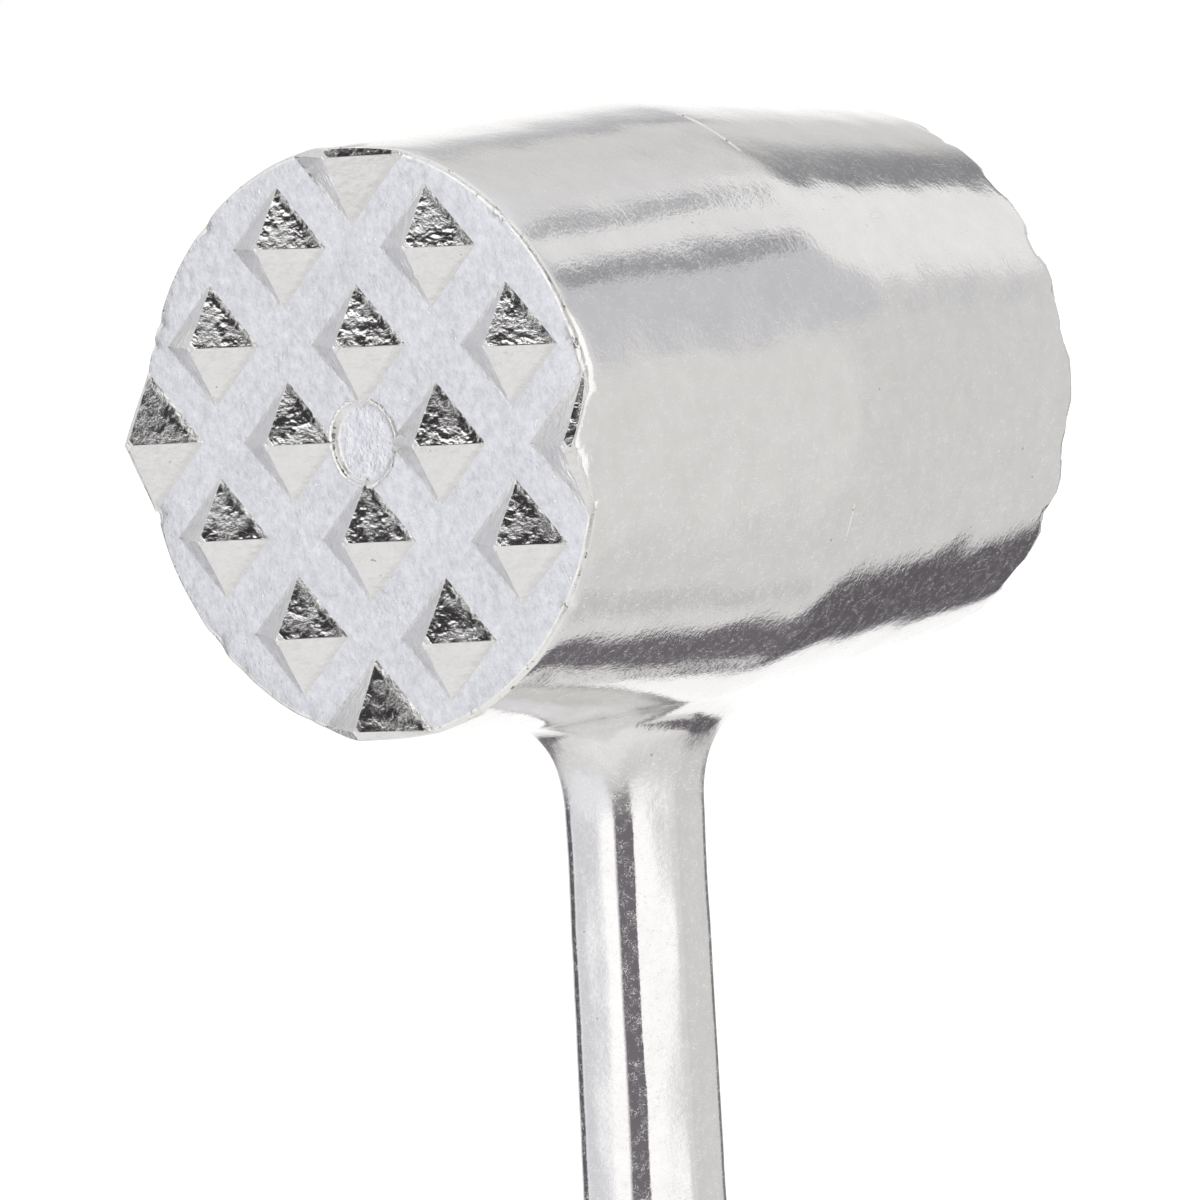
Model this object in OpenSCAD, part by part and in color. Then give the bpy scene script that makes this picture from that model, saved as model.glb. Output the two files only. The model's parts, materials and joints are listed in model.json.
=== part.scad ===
// Meat mallet, cast in one piece from aluminium: a drafted round head with a
// coarse and a fine toothed face, on a slender shank that grows into a grip.
//
// Frame: +Z up the handle, the origin at the centre of the hanging hole. The
// head's axis runs along Y, and the coarse face looks towards -Y. The casting's
// parting plane is the XZ plane, and every side wall is drafted away from it.
//
// Each module is one region of the casting, and neighbours meet face to face.

/* [Head] */
// Height of the head's axis above the hanging hole
head_height = 200; // [180:1:230]
// Diameter of the head at the parting plane
head_mid_d = 52; // [50:0.5:56]
// Diameter of the head at its two faces
head_face_d = 48; // [47:0.5:49.5]
// Distance between the flat grounds of the two faces
head_length = 64; // [54:1:76]

/* [Coarse face] */
// Distance between the centres of neighbouring coarse teeth
coarse_pitch = 11.1; // [10.6:0.1:11.3]
// Side of a coarse tooth's square base
coarse_side = 6.8; // [5.6:0.1:7]
// Height of a coarse tooth above the ground between the teeth
coarse_height = 3.1; // [2:0.1:3.4]
// Side of the blunted tip of a coarse tooth
coarse_tip = 0.6; // [0.3:0.1:1]
// Side of the base of the four larger corner teeth, which the rim cuts
corner_side = 7.8; // [6:0.1:8]
// How far the corner teeth are set in from the regular grid
corner_inset = 0.5; // [0:0.1:1]

/* [Fine face] */
// Distance between the centres of neighbouring fine teeth
fine_pitch = 6.65; // [6.4:0.05:6.8]
// Side of a fine tooth's square base
fine_side = 4.2; // [3.4:0.1:4.6]
// Height of a fine tooth above the ground between the teeth
fine_height = 1.8; // [1.2:0.1:2]
// Side of the blunted tip of a fine tooth
fine_tip = 0.5; // [0.3:0.1:0.8]
// Height that buffing leaves to the fine teeth at the rim
worn_height = 0.5; // [0.3:0.1:1]
// How far in from the rim the fine teeth are worn
worn_reach = 2.6; // [1:0.2:3]

/* [Casting marks] */
// Diameter of the sunk disc that the ejector pin leaves in the coarse face
mark_d = 6.4; // [6:0.1:7.2]
// Depth of the sunk disc
mark_depth = 0.2; // [0.1:0.05:0.6]
// Width of the raised burr around the sunk disc
burr_width = 0.6; // [0.2:0.05:0.6]
// Height of the raised burr
burr_height = 0.2; // [0.1:0.05:0.4]
// Width of the flash line around the head
flash_width = 0.8; // [0.5:0.1:1.2]
// Height of the flash line
flash_height = 0.15; // [0.1:0.05:0.3]

/* [Shank] */
// Width of the shank at the parting plane, just below the neck
shank_width = 8.8; // [8:0.2:11]
// Width of the shank's front and back flats
shank_flat = 6.8; // [6:0.2:7.8]
// Depth of the shank from front to back
shank_depth = 12.2; // [9:0.2:12.8]
// Radius of the fillet between the shank and the head
neck_fillet = 7.4; // [5:0.2:9]
// Distance from the head's axis to the end of the slender shank
shank_end = 88; // [80:1:96]

/* [Grip] */
// Distance from the head's axis to the full grip section
grip_start = 128; // [120:1:136]
// Width of the grip at the parting plane
grip_width = 22; // [20:0.5:24]
// Width of the grip's front and back flats
grip_flat = 19; // [16:0.5:19.5]
// Depth of the grip from front to back
grip_depth = 13; // [12:0.5:15]
// Diameter of the hanging hole
hole_d = 8; // [6:0.5:9]
// Height of the hanging eye above the hole's centre
eye_height = 16; // [13:0.5:20]

/* [Hidden] */

half_length = head_length / 2;
mid_r = head_mid_d / 2;
face_r = head_face_d / 2;
// Radius that the head loses for each millimetre away from the parting plane
taper = (mid_r - face_r) / half_length;
mark_r = mark_d / 2;
burr_r = mark_r + burr_width;
// Half of the head's circle that the neck takes out of the flash line, in degrees
neck_angle = 24;
neck_end = mid_r + neck_fillet + 1.5;
coarse_count = 4;
// Enough rows of fine teeth to run past the rim on every side
fine_count = 8;
// Share of a tangent's length that makes a cubic curve follow an arc
arc_pull = 0.57;
fillet_steps = 7;
loft_steps = 10;
ring_points = 48;
// How crisp the long edges of the handle are: higher is sharper
crispness = 7;
shine = [0.80, 0.80, 0.79];
matte = [0.74, 0.75, 0.78];
$fn = 96;

// A handle section: half width at the parting plane, half width of the flats, half depth
shank_top = [shank_width / 2, shank_flat / 2, shank_depth / 2];
shank_low = shank_top * 1.05;
grip_top = [grip_width / 2 - 1.5, grip_flat / 2 - 1.5, grip_depth / 2];
grip_low = [grip_width / 2, grip_flat / 2, grip_depth / 2];

function mix(a, b, t) = a + (b - a) * t;
function smooth(t) = t * t * (3 - 2 * t);

// Distance from the handle's axis to its wall, for a section and a direction
function wall(section, angle) =
    let (flank = (abs(cos(angle)) + abs(sin(angle)) * (section[0] - section[1]) / section[2])
            / section[0],
        flat = abs(sin(angle)) / section[2])
    pow(pow(flank, crispness) + pow(flat, crispness), -1 / crispness);

function ring_angle(i) = 360 * i / ring_points;

// One ring of the handle, a given distance below the head's axis
function handle_ring(section, below) = [for (i = [0:ring_points - 1])
    let (a = ring_angle(i), r = wall(section, a))
    [r * cos(a), r * sin(a), head_height - below]];

// Underside of the head above a point of the parting frame, from the head's axis
function underside(x, y) = -sqrt(pow(mid_r - abs(y) * taper, 2) - x * x);

// Rise of the underside for each millimetre out from the handle's axis
function underside_slope(r, angle) =
    let (d = mid_r - r * abs(sin(angle)) * taper)
    (r * pow(cos(angle), 2) + d * taper * abs(sin(angle)))
        / sqrt(d * d - pow(r * cos(angle), 2));

// Fillet in one direction: radius and height of its two ends and of their tangents' corner
function fillet(angle) =
    let (r = wall(shank_top, angle),
        first_slope = underside_slope(r + neck_fillet / 2, angle),
        reach = neck_fillet * tan((90 - atan(first_slope)) / 2),
        out = r + reach / sqrt(1 + first_slope * first_slope),
        top = underside(out * cos(angle), out * sin(angle)),
        corner = top - underside_slope(out, angle) * (out - r))
    [[r, corner - reach], [r, corner], [out, top]];

function fillet_point(f, t) =
    let (p1 = mix(f[0], f[1], arc_pull), p2 = mix(f[2], f[1], arc_pull), u = 1 - t)
    u * u * u * f[0] + 3 * u * u * t * p1 + 3 * u * t * t * p2 + t * t * t * f[2];

function fillet_ring(t) = [for (i = [0:ring_points - 1])
    let (a = ring_angle(i), p = fillet_point(fillet(a), t))
    [p[0] * cos(a), p[0] * sin(a), head_height + p[1]]];

// A ring on the underside of the head, inside the fillet's upper edge
function seat_ring(share) = [for (i = [0:ring_points - 1])
    let (a = ring_angle(i), r = fillet(a)[2][0] * share)
    [r * cos(a), r * sin(a), head_height + underside(r * cos(a), r * sin(a))]];

// Closed skin over a stack of rings, from a point below them to a point above
module skin(rings, low_point, high_point) {
    n = ring_points;
    count = len(rings);
    points = concat([low_point], [for (ring = rings) each ring], [high_point]);
    last = len(points) - 1;
    low_fan = [for (i = [0:n - 1]) [0, 1 + i, 1 + (i + 1) % n]];
    sides = [for (k = [0:count - 2], i = [0:n - 1])
        let (a = 1 + k * n + i, b = 1 + k * n + (i + 1) % n)
        each [[a, a + n, b + n], [a, b + n, b]]];
    high_fan = [for (i = [0:n - 1])
        [last, 1 + (count - 1) * n + (i + 1) % n, 1 + (count - 1) * n + i]];
    polyhedron(points = points, faces = concat(low_fan, sides, high_fan));
}

// Length of handle between two distances below the head's axis
module handle_stretch(from, to, from_section, to_section, steps) {
    rings = [for (k = [steps:-1:0])
        let (t = k / steps)
        handle_ring(mix(from_section, to_section, smooth(t)), mix(from, to, t))];
    skin(rings, [0, 0, head_height - to], [0, 0, head_height - from]);
}

// Puts a shape drawn around the head's axis, coarse face up, in its place
module on_head() {
    translate([0, 0, head_height])
        rotate([90, 0, 0])
            children();
}

// Turns a shape drawn on the coarse side over to the fine side
module on_fine_side() {
    rotate([180, 0, 0])
        children();
}

module half_barrel() {
    cylinder(h = half_length, r1 = mid_r, r2 = face_r);
}

// Four-sided tooth with a blunted tip, standing at the origin
module tooth(side, height, tip) {
    cylinder(h = height, r1 = side / sqrt(2), r2 = tip / sqrt(2), $fn = 4);
}

// The space above a face, inside the drafted side of the head
module above_face(height) {
    translate([0, 0, half_length])
        cylinder(h = height, r1 = face_r, r2 = face_r - height * taper);
}

// The same space, lowered towards the rim as buffing wears the teeth there
module above_worn_face(height) {
    above_face(worn_height);
    translate([0, 0, half_length + worn_height])
        cylinder(h = height - worn_height, r1 = face_r - worn_height * taper,
            r2 = face_r - worn_reach);
}

module front_barrel() {
    color(shine)
        on_head()
            difference() {
                half_barrel();
                translate([0, 0, half_length - mark_depth])
                    cylinder(h = 2 * mark_depth, r = mark_r);
            }
}

module rear_barrel() {
    color(shine)
        on_head()
            on_fine_side()
                half_barrel();
}

// Thin flash that the die leaves around the head, open where the neck joins
module parting_line() {
    half = flash_width / 2;
    crest = half / 3;
    color(shine)
        on_head()
            rotate([0, 0, neck_angle - 90])
                rotate_extrude(angle = 360 - 2 * neck_angle)
                    polygon([
                        [mid_r, 0],
                        [mid_r - half * taper, -half],
                        [mid_r + flash_height, -crest],
                        [mid_r + flash_height, crest],
                        [mid_r - half * taper, half]
                    ]);
}

module coarse_teeth() {
    middle = (coarse_count - 1) / 2;
    corner_pull = 1 - corner_inset / (middle * coarse_pitch * sqrt(2));
    color(matte)
        on_head()
            difference() {
                intersection() {
                    for (i = [-middle:middle], j = [-middle:middle]) {
                        at_corner = abs(i) == middle && abs(j) == middle;
                        step = coarse_pitch * (at_corner ? corner_pull : 1);
                        rotate([0, 0, 45])
                            translate([i * step, j * step, half_length])
                                rotate([0, 0, 45])
                                    tooth(at_corner ? corner_side : coarse_side,
                                        coarse_height, coarse_tip);
                    }
                    above_face(coarse_height);
                }
                translate([0, 0, half_length - mark_depth])
                    cylinder(h = coarse_height + 2 * mark_depth, r = burr_r);
            }
}

module fine_teeth() {
    middle = (fine_count - 1) / 2;
    color(matte)
        on_head()
            on_fine_side()
                intersection() {
                    for (i = [-middle:middle], j = [-middle:middle]) {
                        reach = norm([i, j]) * fine_pitch;
                        if (reach < face_r + fine_side / 2)
                            rotate([0, 0, 45])
                                translate([i * fine_pitch, j * fine_pitch, half_length])
                                    rotate([0, 0, 45])
                                        tooth(fine_side, fine_height, fine_tip);
                    }
                    above_worn_face(fine_height);
                }
}

// Raised burr around the sunk disc in the middle of the coarse face
module ejector_mark() {
    color(matte)
        on_head()
            translate([0, 0, half_length])
                rotate_extrude()
                    translate([mark_r, 0])
                        square([burr_width, burr_height]);
}

// Filleted neck, from the head's underside down to the plain shank
module neck() {
    fillet_rings = [for (k = [0:fillet_steps]) fillet_ring(k / fillet_steps)];
    seat_rings = [for (share = [0.7, 0.35]) seat_ring(share)];
    rings = concat([handle_ring(shank_top, neck_end)], fillet_rings, seat_rings);
    color(shine)
        skin(rings, [0, 0, head_height - neck_end], [0, 0, head_height - mid_r]);
}

module shank() {
    color(shine)
        handle_stretch(neck_end, shank_end, shank_top, shank_low, loft_steps);
}

// Where the slender shank swells into the grip
module shoulder() {
    color(shine)
        handle_stretch(shank_end, grip_start, shank_low, grip_top, loft_steps);
}

module grip() {
    color(shine)
        handle_stretch(grip_start, head_height - eye_height, grip_top, grip_low, loft_steps);
}

// One drafted half of the eye: a round end under a straight block
module half_eye() {
    cylinder(h = grip_low[2], r1 = grip_low[0], r2 = grip_low[1]);
    rotate([-90, 0, 0])
        linear_extrude(eye_height)
            polygon([
                [-grip_low[0], 0],
                [-grip_low[1], -grip_low[2]],
                [grip_low[1], -grip_low[2]],
                [grip_low[0], 0]
            ]);
}

// End of the handle, with the hole that it hangs by
module hanging_eye() {
    color(shine)
        rotate([90, 0, 0])
            difference() {
                union() {
                    half_eye();
                    mirror([0, 0, 1])
                        half_eye();
                }
                cylinder(h = 2 * grip_depth, d = hole_d, center = true);
            }
}

front_barrel();
rear_barrel();
parting_line();
coarse_teeth();
fine_teeth();
ejector_mark();
neck();
shank();
shoulder();
grip();
hanging_eye();
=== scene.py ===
"""Looks of a cast aluminium meat mallet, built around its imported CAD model.

Everything is in metres, in the frame of the CAD model: +Z up the handle, the origin at
the centre of the hanging hole, the head's axis along Y with the coarse face towards -Y.
"""

import json
import math

import bmesh
import bpy
import numpy as np
from mathutils import Matrix, Vector


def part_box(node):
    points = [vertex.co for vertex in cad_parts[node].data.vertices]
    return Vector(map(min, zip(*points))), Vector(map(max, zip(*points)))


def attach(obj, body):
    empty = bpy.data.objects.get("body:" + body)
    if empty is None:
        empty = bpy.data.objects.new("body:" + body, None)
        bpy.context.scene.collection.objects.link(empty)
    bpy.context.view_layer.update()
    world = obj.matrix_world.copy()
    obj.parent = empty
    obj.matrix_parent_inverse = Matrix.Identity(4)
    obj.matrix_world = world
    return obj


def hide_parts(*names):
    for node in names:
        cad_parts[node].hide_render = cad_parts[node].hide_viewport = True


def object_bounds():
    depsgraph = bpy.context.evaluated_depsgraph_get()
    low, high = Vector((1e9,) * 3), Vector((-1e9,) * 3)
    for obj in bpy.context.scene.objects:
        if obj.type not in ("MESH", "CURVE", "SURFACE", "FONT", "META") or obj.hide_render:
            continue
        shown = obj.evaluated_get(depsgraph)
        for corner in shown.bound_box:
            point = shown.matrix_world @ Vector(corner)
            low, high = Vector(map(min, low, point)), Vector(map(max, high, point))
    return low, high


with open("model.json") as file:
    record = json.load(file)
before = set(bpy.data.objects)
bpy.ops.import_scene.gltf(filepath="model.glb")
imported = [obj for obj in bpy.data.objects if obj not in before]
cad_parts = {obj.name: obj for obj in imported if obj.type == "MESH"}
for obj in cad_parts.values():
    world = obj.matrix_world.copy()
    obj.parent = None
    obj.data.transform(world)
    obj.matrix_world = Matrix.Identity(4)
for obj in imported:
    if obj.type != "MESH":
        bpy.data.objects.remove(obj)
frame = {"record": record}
CAD_LOW, CAD_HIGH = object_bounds()
MM = 0.001

# ---------------------------------------------------------------- sizes from the frame


def edge(node, side, axis):
    """Lowest (side 0) or highest (side 1) x, y or z of a CAD node."""
    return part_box(node)[side]["xyz".index(axis)]


def half_size(node, axis):
    return (edge(node, 1, axis) - edge(node, 0, axis)) / 2


HEAD_Z = (edge("rear_barrel", 0, "z") + edge("rear_barrel", 1, "z")) / 2
MID_R = half_size("rear_barrel", "z")
FACE_R = half_size("fine_teeth", "z")
HALF_LENGTH = edge("rear_barrel", 1, "y")
COARSE_HEIGHT = edge("front_barrel", 0, "y") - edge("coarse_teeth", 0, "y")
FINE_HEIGHT = edge("fine_teeth", 1, "y") - HALF_LENGTH
BURR_R = half_size("ejector_mark", "z")
BURR_HEIGHT = edge("front_barrel", 0, "y") - edge("ejector_mark", 0, "y")
FLASH_HEIGHT = edge("parting_line", 1, "z") - HEAD_Z - MID_R
FLASH_HALF_WIDTH = half_size("parting_line", "y")
HOLE_R = frame["record"]["mounts"][0]["dims"]["r_mm"] * MM

# Distances below the head's axis
NECK_END = HEAD_Z - edge("neck", 0, "z")
SHANK_END = HEAD_Z - edge("shank", 0, "z")
GRIP_START = HEAD_Z - edge("shoulder", 0, "z")
EYE_TOP = HEAD_Z - edge("hanging_eye", 1, "z")

# Sizes of the casting that the boxes of its nodes can't tell. First the handle: how much
# it widens down the shank, the draft of its sides, and how square its section is
SHANK_GROWTH = 1.05
SHANK_DRAFT = 1.0 * MM
GRIP_DRAFT = 1.5 * MM
CRISPNESS = 6
# The fillet of the neck, how much longer than an arc it runs out, how far its curve is
# pulled to the corner, and how far it reaches into the head
NECK_FILLET = 7.4 * MM
NECK_TAIL = 1.2
NECK_PULL = 0.68
NECK_SUNK = 1.2 * MM
# The teeth of the two faces
COARSE_PITCH = 11.1 * MM
COARSE_SIDE = 6.8 * MM
COARSE_TIP = 0.6 * MM
CORNER_SIDE = 7.8 * MM
CORNER_INSET = 0.5 * MM
FINE_PITCH = 6.65 * MM
FINE_SIDE = 4.2 * MM
FINE_TIP = 0.5 * MM
# The disc that the ejector pin struck, with its wall at the narrowest and what it gains
# on the left
MARK_R = 3.2 * MM
MARK_DEPTH = 0.2 * MM
MARK_WALL = 0.16 * MM
MARK_WALL_GAIN = 0.44 * MM
# Rounding of the rims, the nicks in each, and how far behind them the side starts to
# rise to the cut feet of the teeth
RIM_R = 0.42 * MM
RIM_NICKS = 26
LIP_REACH = 3 * MM
# Angle from straight down at which the flash stops on each side of the neck
NECK_ANGLE = math.radians(24)
# Buffing blends the two drafted halves of the head over this distance
CROWN = 2.5 * MM
# Height that buffing leaves to the fine teeth at the rim, and how far in it reaches
WORN_HEIGHT = 0.5 * MM
WORN_REACH = 2.6 * MM


def section(node, draft):
    """Half width at the parting plane, half width of the flats, half depth."""
    width = half_size(node, "x")
    return np.array([width, width - draft, half_size(node, "y")])


SHANK_LOW = section("shank", SHANK_DRAFT * SHANK_GROWTH)
SHANK_TOP = SHANK_LOW / SHANK_GROWTH
GRIP_TOP = section("shoulder", GRIP_DRAFT)
GRIP_LOW = section("hanging_eye", GRIP_DRAFT)

# ---------------------------------------------------------------- uneven cast surface


class Waves:
    """Smooth random field: a sum of plane waves, with a typical height of 1."""

    def __init__(self, seed, shortest, longest, count=48):
        rng = np.random.default_rng(seed)
        directions = rng.normal(size=(count, 3))
        directions /= np.linalg.norm(directions, axis=1)[:, None]
        lengths = rng.uniform(shortest, longest, count)
        self.vectors = directions * (2 * math.pi / lengths)[:, None]
        self.phases = rng.uniform(0, 2 * math.pi, count)

    def at(self, points):
        total = np.sin(points @ self.vectors.T + self.phases).sum(axis=1)
        return total / math.sqrt(len(self.phases) / 2)


# One field for each axis, shared by all pieces so that they still meet
CASTING = [Waves(seed, 4 * MM, 13 * MM) for seed in (11, 12, 13)]
CASTING_HEIGHT = 0.018 * MM


def cast(points):
    """Points of a true surface, moved as the casting's uneven skin moves them."""
    points = np.asarray(points, float)
    offset = np.stack([waves.at(points) for waves in CASTING], axis=1)
    return np.clip(points + CASTING_HEIGHT * offset, CAD_LOW, CAD_HIGH)


# ---------------------------------------------------------------- meshes


class Skin:
    """Points and faces of one piece, gathered from closed skins."""

    def __init__(self):
        self.points = []
        self.faces = []
        self.kinds = []

    def loft(self, rings, low_point=None, high_point=None, kinds=None):
        """Adds a skin over a stack of rings, closed at each end that has a point.
        kinds gives the material of each band between two rings."""
        count = len(rings[0])
        kinds = kinds or [0] * (len(rings) - 1)
        start = [len(self.points) + k * count for k in range(len(rings))]
        for ring in rings:
            self.points.extend(ring)
        for i in range(count):
            j = (i + 1) % count
            for k, kind in enumerate(kinds):
                a, b = start[k], start[k + 1]
                self.add((a + i, b + i, b + j, a + j), kind)
        ends = ((low_point, start[0], kinds[0]), (high_point, start[-1], kinds[-1]))
        for point, base, kind in ends:
            if point is None:
                continue
            self.points.append(point)
            middle = len(self.points) - 1
            for i in range(count):
                self.add((middle, base + i, base + (i + 1) % count), kind)

    def add(self, face, kind):
        self.faces.append(face)
        self.kinds.append(kind)

    def piece(self, name, materials, sharp_angle=38):
        """Turns the skin into an object with its faces outwards."""
        mesh = bpy.data.meshes.new(name)
        mesh.from_pydata([tuple(p) for p in self.points], [], self.faces)
        for material in materials:
            mesh.materials.append(material)
        mesh.polygons.foreach_set("material_index", self.kinds)
        bm = bmesh.new()
        bm.from_mesh(mesh)
        bmesh.ops.remove_doubles(bm, verts=bm.verts, dist=0.0005 * MM)
        bmesh.ops.recalc_face_normals(bm, faces=bm.faces)
        bm.to_mesh(mesh)
        bm.free()
        mesh.shade_smooth()
        mesh.set_sharp_from_angle(angle=math.radians(sharp_angle))
        obj = bpy.data.objects.new(name, mesh)
        bpy.context.scene.collection.objects.link(obj)
        return obj


def move_points(obj, change):
    """Moves a piece's points by a function of all of them."""
    mesh = obj.data
    points = np.zeros(len(mesh.vertices) * 3)
    mesh.vertices.foreach_get("co", points)
    mesh.vertices.foreach_set("co", change(points.reshape(-1, 3)).ravel())
    mesh.update()


def boolean(obj, operation, cutter):
    """Cuts a piece with another object, which is then removed."""
    modifier = obj.modifiers.new("cut", "BOOLEAN")
    modifier.operation = operation
    modifier.solver = "EXACT"
    modifier.object = cutter
    graph = bpy.context.evaluated_depsgraph_get()
    mesh = bpy.data.meshes.new_from_object(obj.evaluated_get(graph))
    obj.modifiers.clear()
    obj.data = mesh
    mesh.shade_smooth()
    mesh.set_sharp_from_angle(angle=math.radians(38))
    bpy.data.objects.remove(cutter)


def finish_piece(obj, node):
    """Hands a finished piece to the frame in place of its CAD node."""
    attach(obj, "root")
    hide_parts(node)
    return obj


def smooth(t):
    """Eases a share that runs from 0 to 1 at both of its ends."""
    return t * t * (3 - 2 * t)


def mix(a, b, t):
    return a + (b - a) * t


def circle_angles(count):
    return np.arange(count) * 2 * math.pi / count


def leftwards(angles):
    """How far a direction round the head's axis points to the left of the coarse face."""
    return np.clip(-np.sin(angles), 0, 1) ** 2


# ---------------------------------------------------------------- head

HEAD_SEGMENTS = 480
FRONT, REAR = -1, 1
# Depth to which the flash and the burr reach into the skin they stand on
PROUD_SUNK = 0.15 * MM
# Radii at which a face closes to its middle point
GROUND_HUB = 0.6 * MM
DISC_HUB = 0.3 * MM
# Slots of the materials of each half of the head
SIDE, GROUND, DISC, RIM = range(4)


def head_ring(radius, out, facing, angles):
    """Ring round the head's axis, at a distance out from the parting plane."""
    radius = np.broadcast_to(radius, angles.shape)
    out = np.broadcast_to(out, angles.shape)
    return np.stack(
        [radius * np.sin(angles), facing * out, HEAD_Z + radius * np.cos(angles)], axis=1
    )


def head_radius(out):
    """Radius of the head at a distance from the parting plane."""
    full = math.hypot(HALF_LENGTH, CROWN) - CROWN
    return MID_R - (MID_R - FACE_R) * (np.hypot(out, CROWN) - CROWN) / full


def head_taper(out):
    """Radius lost there for each metre further out."""
    full = math.hypot(HALF_LENGTH, CROWN) - CROWN
    return (MID_R - FACE_R) * out / math.hypot(out, CROWN) / full


def rim_damage(angles, seed):
    """Depth of the dents and nicks round a rim, as a share of the rim's radius."""
    rng = np.random.default_rng(seed)
    depth = 0.12 * (1 + np.sin(5 * angles + rng.uniform(0, 6)) * np.sin(13 * angles))
    for _ in range(RIM_NICKS):
        place = rng.uniform(0, 2 * math.pi)
        width = rng.uniform(0.012, 0.045)
        away = (angles - place + math.pi) % (2 * math.pi) - math.pi
        depth += rng.uniform(0.2, 0.75) * np.exp(-((away / width) ** 2))
    return depth


def rim_lip(angles, spots, height, most):
    """Height of the teeth where the head's side cuts them, round the rim."""
    u, v = FACE_R * np.sin(angles), FACE_R * np.cos(angles)
    lip = np.zeros_like(angles)
    for spot_u, spot_v, side, tip in spots:
        away = np.abs(u - spot_u) + np.abs(v - spot_v)
        rise = height * (side / math.sqrt(2) - away) / ((side - tip) / math.sqrt(2))
        lip = np.maximum(lip, np.clip(rise, 0, most))
    soft = np.array([1, 2, 3, 2, 1]) / 9
    return np.convolve(np.concatenate([lip[-2:], lip, lip[:2]]), soft, "valid")


def half_barrel(name, facing, seed, lip, marked, materials):
    """Half of the head, from the parting plane to the ground of its face. lip is how far
    the teeth's cut feet raise the rim, and marked adds the struck disc."""
    angles = circle_angles(HEAD_SEGMENTS)
    damage = rim_damage(angles, seed) * RIM_R
    side_end = HALF_LENGTH - RIM_R
    rings, kinds = [], []

    def ring(radius, out, kind=SIDE):
        if rings:
            kinds.append(kind)
        rings.append(cast(head_ring(radius, out, facing, angles)))

    for out in np.linspace(0, side_end - LIP_REACH, 80):
        ring(head_radius(out), out)
    for share in np.linspace(0, 1, 20)[1:]:
        out = side_end - LIP_REACH * (1 - share) + lip * share**2
        ring(head_radius(out) - 0.5 * damage * share**8, out)
    for turn in np.linspace(0, math.pi / 2, 7)[1:]:
        radius = head_radius(side_end + lip) - RIM_R * (1 - math.cos(turn)) - 0.6 * damage
        rise = math.sin(turn)
        ring(radius, side_end + lip + (RIM_R - damage) * rise, RIM)
    inner = MARK_R if marked else GROUND_HUB
    outer = head_radius(side_end) - 1.6 * RIM_R
    for radius in np.linspace(outer, inner, 44):
        near_rim = math.exp(-((outer - radius) / (0.4 * MM)))
        ring(radius, HALF_LENGTH - 0.6 * damage * near_rim, GROUND)
    if marked:
        width = MARK_WALL + MARK_WALL_GAIN * leftwards(angles)
        for share in np.linspace(0, 1, 7)[1:]:
            ring(MARK_R - width * share, HALF_LENGTH - MARK_DEPTH * smooth(share), RIM)
        for share in np.linspace(0, 1, 14)[1:]:
            ring(mix(MARK_R - width, DISC_HUB, share), HALF_LENGTH - MARK_DEPTH, DISC)
    middle = cast([(0, 0, HEAD_Z)])[0]
    deep = HALF_LENGTH - (MARK_DEPTH if marked else 0)
    face_middle = cast([(0, facing * deep, HEAD_Z)])[0]
    skin = Skin()
    skin.loft(rings, middle, face_middle, kinds)
    return skin.piece(name, materials)


def flash_line(materials):
    """Thin uneven flash round the head at the parting plane, open over the neck."""
    # Turns count from straight down, so the top lies at pi
    turns = np.linspace(NECK_ANGLE, 2 * math.pi - NECK_ANGLE, 700)
    rng = np.random.default_rng(31)
    phases = rng.uniform(0, 2 * math.pi, 3)
    waves = np.sin(3 * turns + phases[0]) + np.sin(7 * turns + phases[1]) * np.sin(17 * turns)
    kept_at_top = np.exp(-(((turns - math.pi - 0.46) / 0.15) ** 4))
    height = np.clip(0.35 * waves - 0.45 + 1.3 * kept_at_top, -0.6, 0.95)
    rings = []
    for turn, share in zip(turns, height):
        profile = [
            (MID_R - PROUD_SUNK, -FLASH_HALF_WIDTH),
            (MID_R + 0.2 * FLASH_HEIGHT * share, -0.45 * FLASH_HALF_WIDTH),
            (MID_R + FLASH_HEIGHT * share, -0.15 * FLASH_HALF_WIDTH),
            (MID_R + FLASH_HEIGHT * share, 0.15 * FLASH_HALF_WIDTH),
            (MID_R + 0.2 * FLASH_HEIGHT * share, 0.45 * FLASH_HALF_WIDTH),
            (MID_R - PROUD_SUNK, FLASH_HALF_WIDTH),
        ]
        rings.append(
            cast([(-r * math.sin(turn), y, HEAD_Z - r * math.cos(turn)) for r, y in profile])
        )
    skin = Skin()
    skin.loft(rings, rings[0].mean(axis=0), rings[-1].mean(axis=0))
    return skin.piece("flash_line", materials, sharp_angle=80)


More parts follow.
